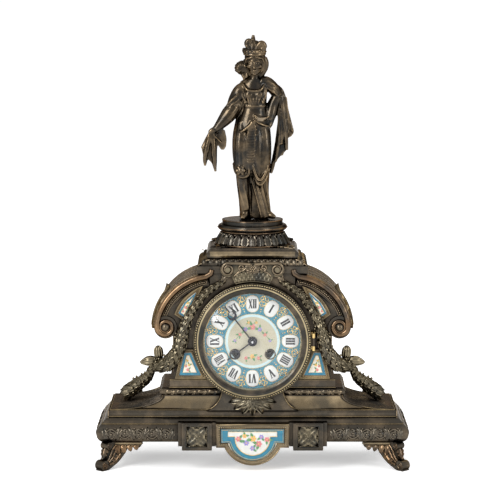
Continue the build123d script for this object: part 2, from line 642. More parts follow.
def foot():
    """Foot of the corner where X and Y are both positive."""
    diagonal = Plane(origin=(TOE_X, TOE_Y, 0), x_dir=(-1, -1, 0), z_dir=(-1, 1, 0))
    with BuildPart() as corner:
        with BuildSketch(diagonal):
            with BuildLine():
                Polyline((-TOE_SOLE, 0), (TOE_SOLE, 0), FOOT_INSTEP)
                Spline(FOOT_INSTEP, (FOOT_HEEL[0] * 0.7, FOOT_HEEL[1] * 0.5), FOOT_HEEL, FOOT_BACK)
                Polyline(FOOT_BACK, (FOOT_CALF[0], FOOT_HEIGHT), FOOT_CALF)
                Spline(FOOT_CALF, (FOOT_SHIN[0] * 0.6, FOOT_SHIN[1]), (0, 2 * TOE_RADIUS))
                Line((0, 2 * TOE_RADIUS), (-TOE_SOLE, 0))
            make_face()
            with Locations((0, TOE_RADIUS)):
                Circle(TOE_RADIUS)
            with Locations(FOOT_VOLUTE):
                Circle(FOOT_VOLUTE_RADIUS)
        extrude(amount=FOOT_THICKNESS / 2, both=True)
        for length, thickness in ((FOOT_WING_LENGTH, FOOT_WING_THICKNESS), (FOOT_WING_THICKNESS, FOOT_WING_LENGTH)):
            with BuildSketch(Plane.XY.offset(FOOT_SCREW_BACK)):
                with Locations((PLINTH_WIDTH / 2 - COVE_SETBACK, PLINTH_DEPTH / 2 - COVE_SETBACK)):
                    Rectangle(length, thickness, align=(Align.MAX, Align.MAX))
            extrude(amount=FOOT_PLATE_HEIGHT)
        with BuildSketch(Plane.XY.offset(FOOT_SCREW_BACK)):
            with Locations((FOOT_SCREW_X, FOOT_SCREW_Y)):
                Rectangle(FOOT_LUG, FOOT_LUG)
        extrude(amount=FOOT_PLATE_HEIGHT)
        leaf_x = PLINTH_WIDTH / 2 - COVE_SETBACK - FOOT_LUG / 2
        leaf_y = PLINTH_DEPTH / 2 - COVE_SETBACK
        with BuildSketch(Plane.XZ.offset(-leaf_y)):
            for number, radius in enumerate(FOOT_WING_LEAF_RADII):
                with Locations((leaf_x - number * FOOT_WING_LEAF_STEP, FOOT_SCREW_BACK)):
                    Circle(radius)
        extrude(amount=FOOT_WING_THICKNESS / 2)
        with BuildSketch(Plane.YZ.offset(PLINTH_WIDTH / 2 - COVE_SETBACK)):
            for number, radius in enumerate(FOOT_WING_LEAF_RADII):
                with Locations((leaf_y - FOOT_LUG / 2 - number * FOOT_WING_LEAF_STEP, FOOT_SCREW_BACK)):
                    Circle(radius)
        extrude(amount=-FOOT_WING_THICKNESS / 2)
        with BuildSketch(Plane.XY.offset(FOOT_HEIGHT)):
            Rectangle(2 * PLINTH_WIDTH, 2 * PLINTH_DEPTH)
        extrude(amount=FOOT_HEIGHT, mode=Mode.SUBTRACT)
        with Locations((FOOT_SCREW_X, FOOT_SCREW_Y, FOOT_HEIGHT)):
            Hole(FOOT_SCREW_RADIUS + STUD_CLEARANCE)
        with BuildSketch(Plane.XY):
            with Locations((FOOT_SCREW_X, FOOT_SCREW_Y)):
                Circle(SCREW_HEAD_RADIUS + STUD_CLEARANCE)
        extrude(amount=FOOT_SCREW_BACK, mode=Mode.SUBTRACT)
    return corner.part


with BuildPart() as feet:
    add(foot())
    mirror(about=Plane.YZ)
    mirror(about=Plane.XZ)
save(feet, "feet")
with BuildPart() as foot_screws:
    with BuildSketch(Plane.XY.offset(FOOT_SCREW_BACK - SCREW_HEAD_HEIGHT)):
        with GridLocations(2 * FOOT_SCREW_X, 2 * FOOT_SCREW_Y, 2, 2):
            Circle(SCREW_HEAD_RADIUS)
    extrude(amount=SCREW_HEAD_HEIGHT)
    with BuildSketch(Plane.XY.offset(FOOT_SCREW_BACK)):
        with GridLocations(2 * FOOT_SCREW_X, 2 * FOOT_SCREW_Y, 2, 2):
            Circle(FOOT_SCREW_RADIUS)
    extrude(amount=FOOT_PLATE_HEIGHT + FOOT_SCREW_GRIP)
save(foot_screws, "foot_screws")


def limb(stations):
    """Smooth round limb through stations of x, front distance, z and radius."""
    points = [Vector(x, -forward, z) for x, forward, z, _ in stations]
    with BuildPart() as shape:
        for number, (point, station) in enumerate(zip(points, stations)):
            before = points[max(number - 1, 0)]
            after = points[min(number + 1, len(points) - 1)]
            with BuildSketch(Plane(origin=point, z_dir=after - before)):
                Circle(station[3])
        loft()
    return shape.part


def draped(stations):
    """Smooth upright shape through stations of x, front distance, z, half width and half depth."""
    with BuildPart() as shape:
        for x, forward, z, half_width, half_depth in stations:
            with BuildSketch(Plane(origin=(x, -forward, z))):
                Ellipse(half_width, half_depth)
        loft()
    return shape.part


# Garlands: laurel ropes that hang beside the dial, pass a ribbon bow and come to rest on the shoulders
GARLAND_UPPER = (
    (-27.0, FACE + 3.0, 190.0, 2.0),
    (-46.0, FACE + 4.0, 177.6, 3.5),
    (-57.4, FACE + 5.0, 164.0, 4.4),
    (-65.9, FACE + 5.5, 148.7, 5.0),
    (-70.6, FACE + 6.0, 133.2, 6.6),
    (-74.6, FACE + 6.0, 119.7, 7.6),
    (-84.0, FACE + 2.0, 107.0, 8.3),
    (-94.0, FACE - 6.0, 102.5, 6.5),
)
GARLAND_LOWER = (
    (-97.5, FACE - 10.0, 104.0, 4.0),
    (-101.0, FACE - 16.0, 97.5, 4.6),
    (-106.0, FACE - 25.0, 88.0, 6.4),
    (-116.0, FACE - 34.0, 78.5, 8.0),
    (-126.5, FACE - 40.0, 69.5, 8.6),
)
BOW_FRONT = FACE - 9.0
GARLAND_KNOT = (-96.0, -BOW_FRONT, 107.0)
GARLAND_KNOT_RADIUS = 5.8
BOW_LOOPS = (
    ((-95.0, BOW_FRONT, 108.0, 3.4), (-94.0, BOW_FRONT, 115.0, 5.2), (-94.0, BOW_FRONT, 122.5, 4.0)),
    ((-97.0, BOW_FRONT, 107.5, 3.0), (-104.0, BOW_FRONT, 109.5, 4.8), (-111.0, BOW_FRONT, 109.5, 2.6)),
)
with BuildPart() as garland_left:
    add(limb(GARLAND_UPPER))
    add(limb(GARLAND_LOWER))
    with Locations(GARLAND_KNOT):
        Sphere(GARLAND_KNOT_RADIUS)
    for loop in BOW_LOOPS:
        add(limb(loop))
    with Locations((GARLAND_LOWER[-1][0], -GARLAND_LOWER[-1][1], GARLAND_LOWER[-1][2])):
        Sphere(GARLAND_LOWER[-1][3])
    for neighbour in (case_body, scroll_left, shoulder_stage, plinth, neck_block, crest):
        add(neighbour.part, mode=Mode.SUBTRACT)
    add(side_plaques.part, mode=Mode.SUBTRACT)
    add(plaque_frames.part, mode=Mode.SUBTRACT)
save(garland_left, "garland_left")
with BuildPart() as garland_right:
    add(mirror(garland_left.part, about=Plane.YZ, mode=Mode.PRIVATE))
save(garland_right, "garland_right")

# Figure: body and skirt in one casting, with the head, arms and loose drapery soldered on
FIGURE_BODY = (
    (3.0, 0.0, PEDESTAL_TOP, 18.5, 13.0),
    (2.0, 0.0, PEDESTAL_TOP + 6.0, 16.5, 12.0),
    (1.5, 0.0, 268.5, 16.2, 11.5),
    (1.0, 0.5, 288.5, 17.2, 12.5),
    (0.0, 0.5, 298.0, 19.6, 14.0),
    (-0.8, 0.5, 318.0, 19.7, 14.0),
    (-0.5, 0.0, 336.0, 19.4, 13.5),
    (0.0, 0.0, 350.0, 16.8, 11.5),
    (1.0, 0.0, 362.5, 13.4, 9.5),
    (1.5, 1.0, 373.0, 12.6, 10.5),
    (1.5, 0.0, 382.0, 14.0, 9.0),
    (1.0, -0.5, 386.5, 8.0, 6.5),
    (1.0, 0.0, 391.0, 5.6, 5.4),
)
FIGURE_SOCKET_DEPTH = 60.0
FIGURE_STUD_GRIP = 24.0
with BuildPart() as figure_body:
    add(draped(FIGURE_BODY))
    with BuildSketch(Plane.XY.offset(PEDESTAL_TOP)):
        Circle(STUD_RADIUS)
    extrude(amount=FIGURE_STUD_GRIP, mode=Mode.SUBTRACT)
save(figure_body, "figure_body")
FIGURE_HEAD = (
    (1.5, 0.5, 388.0, 4.6, 4.8),
    (2.2, 1.5, 393.0, 5.0, 6.4),
    (2.8, 1.5, 400.0, 8.2, 9.0),
    (3.2, 0.5, 408.0, 9.3, 9.8),
    (3.4, 0.0, 415.0, 9.4, 9.6),
    (3.0, 0.0, 421.0, 8.6, 8.0),
    (2.2, 0.0, 426.0, 5.6, 5.0),
    (1.6, 0.0, 433.0, 1.4, 1.2),
)
HAIR_KNOT = ((-4.0, -3.0, 404.0, 4.0), (-11.0, -3.0, 400.5, 7.2), (-15.0, -3.0, 396.5, 4.2), (-11.5, -1.5, 388.5, 2.4))
with BuildPart() as figure_head:
    add(draped(FIGURE_HEAD))
    add(limb(HAIR_KNOT))
    add(figure_body.part, mode=Mode.SUBTRACT)
save(figure_head, "figure_head")
RIGHT_ARM = (
    (-8.5, 0.0, 382.0, 4.4),
    (-14.5, 1.0, 376.0, 5.0),
    (-19.5, 2.0, 364.5, 5.0),
    (-24.0, 4.0, 355.0, 5.0),
    (-31.0, 8.0, 344.5, 4.2),
    (-36.5, 11.0, 337.5, 3.0),
    (-42.5, 13.0, 335.5, 2.4),
)
with BuildPart() as figure_right_arm:
    add(limb(RIGHT_ARM))
    add(figure_body.part, mode=Mode.SUBTRACT)
    add(figure_head.part, mode=Mode.SUBTRACT)
save(figure_right_arm, "figure_right_arm")
LEFT_ARM = (
    (10.0, -1.0, 383.0, 4.4),
    (17.0, -1.0, 382.5, 4.8),
    (23.0, -2.0, 377.0, 4.6),
    (27.3, -4.0, 370.0, 4.4),
    (23.4, -3.0, 358.0, 3.8),
    (18.0, -1.0, 345.0, 3.2),
)
with BuildPart() as figure_left_arm:
    add(limb(LEFT_ARM))
    add(figure_body.part, mode=Mode.SUBTRACT)
    add(figure_head.part, mode=Mode.SUBTRACT)
save(figure_left_arm, "figure_left_arm")


def sheet(outline, forward, thickness):
    """Flat hanging cloth with a closed outline in X and Z, its back at a front distance."""
    with BuildPart() as cloth:
        with BuildSketch(front(forward)):
            with BuildLine():
                Polyline(*outline, close=True)
            make_face()
        extrude(amount=thickness)
    return cloth.part


VEIL = (
    (27.0, 380.0),
    (30.5, 378.5),
    (33.5, 366.0),
    (42.3, 332.5),
    (36.0, 327.5),
    (34.5, 314.5),
    (24.0, 303.0),
    (20.5, 291.5),
    (15.0, 293.0),
    (19.5, 322.0),
    (24.0, 330.0),
    (27.0, 360.0),
)
VEIL_BACK = -9.0
VEIL_THICKNESS = 7.0
with BuildPart() as figure_veil:
    add(sheet(VEIL, VEIL_BACK, VEIL_THICKNESS))
    add(figure_left_arm.part, mode=Mode.SUBTRACT)
    add(figure_body.part, mode=Mode.SUBTRACT)
save(figure_veil, "figure_veil")
CLOTH = (
    (-42.0, 336.0),
    (-45.5, 326.0),
    (-52.5, 319.0),
    (-49.0, 308.5),
    (-47.5, 300.5),
    (-43.5, 306.5),
    (-38.5, 294.5),
    (-35.5, 297.0),
    (-34.8, 317.5),
    (-27.0, 317.0),
    (-25.8, 328.0),
    (-28.0, 339.0),
    (-35.0, 341.0),
)
CLOTH_BACK = 8.0
CLOTH_THICKNESS = 8.0
with BuildPart() as figure_cloth:
    add(sheet(CLOTH, CLOTH_BACK, CLOTH_THICKNESS))
    add(figure_right_arm.part, mode=Mode.SUBTRACT)
    add(figure_body.part, mode=Mode.SUBTRACT)
save(figure_cloth, "figure_cloth")

# Bolt from inside the neck block up through the pedestal into the figure
with BuildPart() as figure_bolt:
    with BuildSketch(Plane.XY.offset(BODY_TOP + NUT_POCKET)):
        Circle(STUD_RADIUS)
    extrude(amount=PEDESTAL_TOP - BODY_TOP - NUT_POCKET + FIGURE_STUD_GRIP)
    with BuildSketch(Plane.XY.offset(BODY_TOP + NUT_POCKET - NUT_HEIGHT)):
        RegularPolygon(NUT_RADIUS, 6)
    extrude(amount=NUT_HEIGHT)
save(figure_bolt, "figure_bolt")


def rod(place, back, fore, radius):
    """Round bar along the depth, at a place measured from the middle of the dial."""
    with BuildPart() as bar:
        with BuildSketch(front(back)):
            with Locations((place[0], DIAL_HEIGHT + place[1])):
                Circle(radius)
        extrude(amount=fore - back)
    return bar.part


def bar(start, end, back, fore, width):
    """Flat bar with round ends between two places measured from the middle of the dial."""
    run, rise = end[0] - start[0], end[1] - start[1]
    with BuildPart() as strip:
        with BuildSketch(front(back)):
            with Locations((start[0] + run / 2, DIAL_HEIGHT + start[1] + rise / 2)):
                SlotCenterToCenter(math.hypot(run, rise), width, rotation=math.degrees(math.atan2(rise, run)))
        extrude(amount=fore - back)
    return strip.part


def tube(back, fore, inner, outer):
    """Ring about the axis of the dial."""
    with BuildPart() as ring:
        add(rod((0, 0), back, fore, outer))
        add(rod((0, 0), back, fore, inner), mode=Mode.SUBTRACT)
    return ring.part


# Casing ring in the front bore, with the fixed knuckles and the pin of the bezel hinge
FLANGE_INNER = 44.5
FLANGE_OUTER = 57.0
FLANGE_FRONT = FACE + 2.0
TUBE_OUTER = 46.8
TUBE_BACK = 28.0
HINGE_X = 60.9
HINGE_FORWARD = FACE + 10.0
KNUCKLE_RADIUS = 1.7
KNUCKLE_HALF = 4.0
KNUCKLE_LENGTH = 4.5
KNUCKLE_GAP = 0.2
HINGE_PIN_RADIUS = 0.8
HINGE_RUNNING = 0.05


def knuckle(x, forward, low, high, radius):
    """Upright hinge barrel, its ends measured from the middle of the dial."""
    with BuildPart() as barrel:
        with BuildSketch(Plane.XY.offset(DIAL_HEIGHT + low)):
            with Locations((x, -forward)):
                Circle(radius)
        extrude(amount=high - low)
    return barrel.part


def knuckle_arm(x, back, fore, low, high):
    """Arm that carries a hinge barrel, as thick as the barrel's radius."""
    with BuildPart() as arm:
        with BuildSketch(Plane.XY.offset(DIAL_HEIGHT + low)):
            with Locations((x, -(back + fore) / 2)):
                Rectangle(KNUCKLE_RADIUS, fore - back)
        extrude(amount=high - low)
    return arm.part


KNUCKLE_TOP = KNUCKLE_HALF + KNUCKLE_GAP + KNUCKLE_LENGTH
with BuildPart() as casing_ring:
    add(tube(FACE, FLANGE_FRONT, FLANGE_INNER, FLANGE_OUTER))
    add(tube(TUBE_BACK, FACE, FLANGE_INNER, TUBE_OUTER))
    for low, high in ((KNUCKLE_HALF + KNUCKLE_GAP, KNUCKLE_TOP), (-KNUCKLE_TOP, -KNUCKLE_HALF - KNUCKLE_GAP)):
        add(knuckle_arm(HINGE_X, FACE, HINGE_FORWARD, low, high))
        with BuildSketch(front(FACE)):
            with Locations(((HINGE_X + FLANGE_OUTER) / 2, DIAL_HEIGHT + (low + high) / 2)):
                Rectangle(HINGE_X - FLANGE_OUTER + 2 * KNUCKLE_RADIUS, high - low)
        extrude(amount=FLANGE_FRONT - FACE)
        add(knuckle(HINGE_X, HINGE_FORWARD, low, high, KNUCKLE_RADIUS))
    add(knuckle(HINGE_X, HINGE_FORWARD, -KNUCKLE_TOP, KNUCKLE_TOP, HINGE_PIN_RADIUS))
save(casing_ring, "casing_ring")

# Bezel door with its glass, hinged on the right
BEZEL_BACK = FLANGE_FRONT + 0.4
BEZEL_FRONT = FACE + 12.0
BEZEL_SIGHT_RADIUS = 48.8
BEZEL_SEAT_RADIUS = 51.2
BEZEL_LIP_BACK = FACE + 9.5
BEAD_RADIUS = 54.5
GLASS_RIM_RADIUS = 51.0
GLASS_NECK_RADIUS = 48.5
GLASS_INNER_RADIUS = 47.0
GLASS_BACK = FACE + 8.0
GLASS_CROWN = FACE + 17.5
GLASS_THICKNESS = 1.4
DIAL_PLAN = Plane(origin=(0, 0, DIAL_HEIGHT), x_dir=(1, 0, 0), z_dir=(0, 0, -1))
with BuildPart() as bezel_door:
    with BuildSketch(DIAL_PLAN):
        with BuildLine():
            Polyline(
                (BEZEL_SEAT_RADIUS, BEZEL_BACK),
                (BEZEL_RADIUS, BEZEL_BACK),
                (BEZEL_RADIUS, BEZEL_LIP_BACK),
            )
            ThreePointArc(
                (BEZEL_RADIUS, BEZEL_LIP_BACK),
                (BEAD_RADIUS, BEZEL_FRONT),
                (BEZEL_SIGHT_RADIUS, BEZEL_LIP_BACK + GLASS_THICKNESS),
            )
            Polyline(
                (BEZEL_SIGHT_RADIUS, BEZEL_LIP_BACK + GLASS_THICKNESS),
                (BEZEL_SIGHT_RADIUS, BEZEL_LIP_BACK),
                (BEZEL_SEAT_RADIUS, BEZEL_LIP_BACK),
                (BEZEL_SEAT_RADIUS, BEZEL_BACK),
            )
        make_face()
    revolve(axis=drum_axis())
    with BuildSketch(DIAL_PLAN):
        with Locations(((HINGE_X + BEZEL_SEAT_RADIUS) / 2, HINGE_FORWARD - KNUCKLE_RADIUS / 2)):
            Rectangle(HINGE_X - BEZEL_SEAT_RADIUS, KNUCKLE_RADIUS)
        with Locations((HINGE_X, HINGE_FORWARD)):
            Circle(KNUCKLE_RADIUS)
    extrude(amount=KNUCKLE_HALF, both=True)
    with BuildSketch(DIAL_PLAN):
        with Locations((HINGE_X, HINGE_FORWARD)):
            Circle(HINGE_PIN_RADIUS + HINGE_RUNNING)
    extrude(amount=KNUCKLE_TOP, both=True, mode=Mode.SUBTRACT)
save(bezel_door, "bezel_door")


def dome_point(rim, rim_height, crown):
    """Point half way out on a spherical dome with its rim radius and the heights of rim and crown."""
    rise = crown - rim_height
    radius = (rim**2 + rise**2) / (2 * rise)
    return rim / 2, crown - radius + math.sqrt(radius**2 - (rim / 2) ** 2)


with BuildPart() as bezel_glass:
    with BuildSketch(DIAL_PLAN):
        with BuildLine():
            Polyline(
                (GLASS_INNER_RADIUS, GLASS_BACK),
                (GLASS_RIM_RADIUS, GLASS_BACK),
                (GLASS_RIM_RADIUS, BEZEL_LIP_BACK),
                (GLASS_NECK_RADIUS, BEZEL_LIP_BACK),
            )
            ThreePointArc(
                (GLASS_NECK_RADIUS, BEZEL_LIP_BACK),
                dome_point(GLASS_NECK_RADIUS, BEZEL_LIP_BACK, GLASS_CROWN),
                (0, GLASS_CROWN),
            )
            Line((0, GLASS_CROWN), (0, GLASS_CROWN - GLASS_THICKNESS))
            ThreePointArc(
                (0, GLASS_CROWN - GLASS_THICKNESS),
                dome_point(GLASS_INNER_RADIUS, GLASS_BACK, GLASS_CROWN - GLASS_THICKNESS),
                (GLASS_INNER_RADIUS, GLASS_BACK),
            )
        make_face()
    revolve(axis=drum_axis())
save(bezel_glass, "bezel_glass")

# Enamel dial on the flange, pierced for the hands and the two winding squares
DIAL_RADIUS = 50.0
DIAL_BACK = FLANGE_FRONT
DIAL_FRONT = FACE + 4.5
DIAL_CENTRE_HOLE = 3.4
WINDING_HOLE_RADIUS = 4.2
GOING_BARREL = (17.7, -13.2)
STRIKE_BARREL = (-17.7, -13.2)
with BuildPart() as dial:
    add(rod((0, 0), DIAL_BACK, DIAL_FRONT, DIAL_RADIUS))
    add(rod((0, 0), DIAL_BACK, DIAL_FRONT, DIAL_CENTRE_HOLE), mode=Mode.SUBTRACT)
    for place in (GOING_BARREL, STRIKE_BARREL):
        add(rod(place, DIAL_BACK, DIAL_FRONT, WINDING_HOLE_RADIUS), mode=Mode.SUBTRACT)
save(dial, "dial")


def toward(start, end):
    """Direction from one place to another, in degrees as seen from the front."""
    return math.degrees(math.atan2(end[1] - start[1], end[0] - start[0]))


# Teeth: half widths are shares of one tooth pitch, heights are shares of the module
TOOTH_TIP_SHARE = 0.11
TOOTH_ROOT_SHARE = 0.24
TOOTH_ADDENDUM = 0.75
TOOTH_DEDENDUM = 1.15


def gear(place, back, fore, teeth, module, tooth_angle):
    """Toothed wheel or pinion with one tooth pointing along an angle."""
    pitch = 360 / teeth
    radius = teeth * module / 2
    root = radius - TOOTH_DEDENDUM * module
    tip = radius + TOOTH_ADDENDUM * module
    corners = []
    for tooth in range(teeth):
        middle = tooth_angle + tooth * pitch
        for share, reach in (
            (-TOOTH_ROOT_SHARE, root),
            (-TOOTH_TIP_SHARE, tip),
            (TOOTH_TIP_SHARE, tip),
            (TOOTH_ROOT_SHARE, root),
        ):
            turn = math.radians(middle + share * pitch)
            corners.append((place[0] + reach * math.cos(turn), DIAL_HEIGHT + place[1] + reach * math.sin(turn)))
    with BuildPart() as blank:
        with BuildSketch(front(back)):
            with BuildLine():
                Polyline(*corners, close=True)
            make_face()
        extrude(amount=fore - back)
    return blank.part


def mate_angle(place, driver, teeth):
    """Tooth angle that puts a gap of this gear opposite the driver's tooth."""
    return toward(place, driver) + 180 / teeth


# Places of the arbors, measured from the middle of the dial
CENTRE = (0.0, 0.0)
INTERMEDIATE = (17.08, 5.69)
THIRD = (-6.66, 14.49)
ESCAPE = (0.0, 26.0)
ANCHOR = (0.0, 38.6)
MINUTE_STUD = (0.0, 12.1)
STRIKE_INTERMEDIATE = (-31.1, 0.1)
PIN_WHEEL = (-25.5, 7.6)
FLY = (-22.74, 15.0)
HAMMER = (-30.0, 20.5)
PILLARS = ((0.0, -37.0), (38.0, 8.0), (19.0, 33.0), (-19.0, 33.0))

# Movement plates and pillars
FRONT_PLATE_BACK = 30.0
FRONT_PLATE_FRONT = 32.0
BACK_PLATE_BACK = -4.0
BACK_PLATE_FRONT = -2.0
BACK_PLATE_RADIUS = 42.0
PILLAR_RADIUS = 2.4
PIVOT_RADIUS = 0.8
PIVOT_RUNNING = 0.05
CENTRE_RADIUS = 1.2
WINDING_RADIUS = 2.0
ARBOR_HOLES = (
    (CENTRE, CENTRE_RADIUS),
    (GOING_BARREL, WINDING_RADIUS),
    (STRIKE_BARREL, WINDING_RADIUS),
    (INTERMEDIATE, PIVOT_RADIUS),
    (THIRD, PIVOT_RADIUS),
    (ESCAPE, PIVOT_RADIUS),
    (ANCHOR, PIVOT_RADIUS),
    (STRIKE_INTERMEDIATE, PIVOT_RADIUS),
    (PIN_WHEEL, PIVOT_RADIUS),
    (FLY, PIVOT_RADIUS),
    (HAMMER, PIVOT_RADIUS),
)


def movement_plate(back, fore, radius):
    """Round brass plate with running holes for all arbors."""
    with BuildPart() as blank:
        add(rod(CENTRE, back, fore, radius))
        for place, shaft in ARBOR_HOLES:
            add(rod(place, back, fore, shaft + PIVOT_RUNNING), mode=Mode.SUBTRACT)
    return blank.part


CLICK_RADIUS = 2.2
RATCHET_RADIUS = 5.6
RATCHET_FRONT = FRONT_PLATE_FRONT + 1.8
CLICK_REACH = RATCHET_RADIUS + CLICK_RADIUS + 0.4
MINUTE_STUD_RADIUS = 1.2
MINUTE_STUD_FRONT = 40.0
with BuildPart() as front_plate:
    add(movement_plate(FRONT_PLATE_BACK, FRONT_PLATE_FRONT, FLANGE_INNER))
    add(rod(MINUTE_STUD, FRONT_PLATE_FRONT, MINUTE_STUD_FRONT, MINUTE_STUD_RADIUS))
    for place in (GOING_BARREL, STRIKE_BARREL):
        add(rod((place[0], place[1] - CLICK_REACH), FRONT_PLATE_FRONT, RATCHET_FRONT, CLICK_RADIUS))
save(front_plate, "front_plate")
with BuildPart() as plate_pillars:
    for place in PILLARS:
        add(rod(place, BACK_PLATE_FRONT, FRONT_PLATE_BACK, PILLAR_RADIUS))
save(plate_pillars, "plate_pillars")

# Back plate with the post of the bell
BELL = (16.0, -6.0)
BELL_RADIUS = 25.0
BELL_THICKNESS = 1.5
BELL_MOUTH = -15.0
BELL_CROWN = -31.0
BELL_POST_RADIUS = 2.0
BELL_POST_END = -34.0
BELL_COLLAR_RADIUS = 3.6
with BuildPart() as back_plate:
    add(movement_plate(BACK_PLATE_BACK, BACK_PLATE_FRONT, BACK_PLATE_RADIUS))
    add(rod(BELL, BELL_POST_END, BACK_PLATE_BACK, BELL_POST_RADIUS))
    add(rod(BELL, BELL_CROWN + BELL_THICKNESS, BACK_PLATE_BACK, BELL_COLLAR_RADIUS))
save(back_plate, "back_plate")
with BuildPart() as bell:
    with BuildSketch(Plane(origin=(BELL[0], 0, DIAL_HEIGHT + BELL[1]), x_dir=(1, 0, 0), z_dir=(0, 0, -1))):
        with BuildLine():
            ThreePointArc(
                (BELL_RADIUS, BELL_MOUTH),
                (BELL_RADIUS * 0.8, (BELL_MOUTH + BELL_CROWN) / 2 - 2 * BELL_THICKNESS),
                (BELL_POST_RADIUS, BELL_CROWN),
            )
            Line((BELL_POST_RADIUS, BELL_CROWN), (BELL_POST_RADIUS, BELL_CROWN + BELL_THICKNESS))
            ThreePointArc(
                (BELL_POST_RADIUS, BELL_CROWN + BELL_THICKNESS),
                (BELL_RADIUS * 0.8 - BELL_THICKNESS, (BELL_MOUTH + BELL_CROWN) / 2 - BELL_THICKNESS),
                (BELL_RADIUS - BELL_THICKNESS, BELL_MOUTH),
            )
            Line((BELL_RADIUS - BELL_THICKNESS, BELL_MOUTH), (BELL_RADIUS, BELL_MOUTH))
        make_face()
    revolve(axis=drum_axis(*BELL))
save(bell, "bell")

# Winding arbors: they run through both plates and end in a square behind the dial's winding holes
WINDING_SQUARE = 2.8
WINDING_END = FACE + 3.5


def winding_arbor(place):
    """Winding arbor with its ratchet wheel and square."""
    with BuildPart() as arbor:
        add(rod(place, BACK_PLATE_BACK, RATCHET_FRONT, WINDING_RADIUS))
        add(rod(place, FRONT_PLATE_FRONT + KNUCKLE_GAP, RATCHET_FRONT, RATCHET_RADIUS))
        with BuildSketch(front(RATCHET_FRONT)):
            with Locations((place[0], DIAL_HEIGHT + place[1])):
                Rectangle(WINDING_SQUARE, WINDING_SQUARE)
        extrude(amount=WINDING_END - RATCHET_FRONT)
    return arbor.part


BARREL_RADIUS = 15.4
BARREL_WALL = 1.2
BARREL_FRONT = 23.5
GREAT_TEETH = 60
GREAT_MODULE = 0.54
GREAT_BACK = 3.5
GREAT_FRONT = 6.0


def barrel(place, driven):
    """Spring barrel with its great wheel, hollow for the spring and running on the winding arbor."""
    with BuildPart() as drum:
        add(gear(place, GREAT_BACK, GREAT_FRONT, GREAT_TEETH, GREAT_MODULE, toward(place, driven)))
        add(rod(place, GREAT_FRONT, BARREL_FRONT, BARREL_RADIUS))
        add(rod(place, GREAT_FRONT, BARREL_FRONT - BARREL_WALL, BARREL_RADIUS - BARREL_WALL), mode=Mode.SUBTRACT)
        add(rod(place, GREAT_BACK, BARREL_FRONT, WINDING_RADIUS + PIVOT_RUNNING), mode=Mode.SUBTRACT)
    return drum.part


for name, place, driven in (
    ("going", GOING_BARREL, INTERMEDIATE),
    ("strike", STRIKE_BARREL, STRIKE_INTERMEDIATE),
):
    with BuildPart() as winding:
        add(winding_arbor(place))
    save(winding, f"{name}_winding_arbor")
    with BuildPart() as spring_barrel:
        add(barrel(place, driven))
    save(spring_barrel, f"{name}_barrel")

# Going train, from the barrel to the escapement
INTERMEDIATE_TEETH = 60
INTERMEDIATE_LEAVES = 10
CENTRE_MODULE = 0.5
CENTRE_TEETH = 80
CENTRE_LEAVES = 12
THIRD_MODULE = 0.36
THIRD_TEETH = 80
THIRD_LEAVES = 8
ESCAPE_MODULE = 0.3
ESCAPE_LEAVES = 8
ESCAPE_TEETH = 40
ESCAPE_RADIUS = 9.0
ESCAPE_ROOT_RADIUS = 7.6
ARBOR_RADIUS = 1.1
ARBOR_BACK = BACK_PLATE_FRONT + KNUCKLE_GAP
ARBOR_FRONT = FRONT_PLATE_BACK - KNUCKLE_GAP


def arbor(place, radius=ARBOR_RADIUS):
    """Arbor between the plates with a thinner pivot at each end."""
    with BuildPart() as shaft:
        add(rod(place, BACK_PLATE_BACK, FRONT_PLATE_FRONT, PIVOT_RADIUS))
        add(rod(place, ARBOR_BACK, ARBOR_FRONT, radius))
    return shaft.part


with BuildPart() as intermediate_wheel:
    add(arbor(INTERMEDIATE))
    leaf = mate_angle(INTERMEDIATE, GOING_BARREL, INTERMEDIATE_LEAVES)
    add(gear(INTERMEDIATE, 2.4, 7.2, INTERMEDIATE_LEAVES, GREAT_MODULE, leaf))
    add(gear(INTERMEDIATE, 26.5, 28.0, INTERMEDIATE_TEETH, CENTRE_MODULE, toward(INTERMEDIATE, CENTRE)))
save(intermediate_wheel, "intermediate_wheel")
CANNON_LEAVES = 12
CANNON_MODULE = 0.5
CANNON_BACK = 33.0
CANNON_FRONT = 36.5
CANNON_TUBE_RADIUS = 1.9
MINUTE_HAND_BACK = FACE + 8.0
MINUTE_HAND_FRONT = FACE + 8.8
CENTRE_END = FACE + 7.0
CANNON_END = FACE + 11.5
with BuildPart() as centre_wheel:
    add(rod(CENTRE, BACK_PLATE_BACK, CENTRE_END, CENTRE_RADIUS))
    leaf = mate_angle(CENTRE, INTERMEDIATE, CENTRE_LEAVES)
    add(gear(CENTRE, 25.2, 29.2, CENTRE_LEAVES, CENTRE_MODULE, leaf))
    add(gear(CENTRE, 0.6, 1.8, CENTRE_TEETH, THIRD_MODULE, toward(CENTRE, THIRD)))
save(centre_wheel, "centre_wheel")
with BuildPart() as cannon_pinion:
    add(gear(CENTRE, CANNON_BACK, CANNON_FRONT, CANNON_LEAVES, CANNON_MODULE, toward(CENTRE, MINUTE_STUD)))
    add(rod(CENTRE, CANNON_BACK, MINUTE_HAND_BACK, CANNON_TUBE_RADIUS))
    add(rod(CENTRE, MINUTE_HAND_BACK, CANNON_END, CENTRE_RADIUS))
    add(rod(CENTRE, CANNON_BACK, CENTRE_END + KNUCKLE_GAP, CENTRE_RADIUS + PIVOT_RUNNING), mode=Mode.SUBTRACT)
save(cannon_pinion, "cannon_pinion")
with BuildPart() as third_wheel:
    add(arbor(THIRD, PIVOT_RADIUS))
    add(gear(THIRD, -0.8, 3.2, THIRD_LEAVES, THIRD_MODULE, mate_angle(THIRD, CENTRE, THIRD_LEAVES)))
    add(gear(THIRD, 20.0, 21.0, THIRD_TEETH, ESCAPE_MODULE, toward(THIRD, ESCAPE)))
save(third_wheel, "third_wheel")
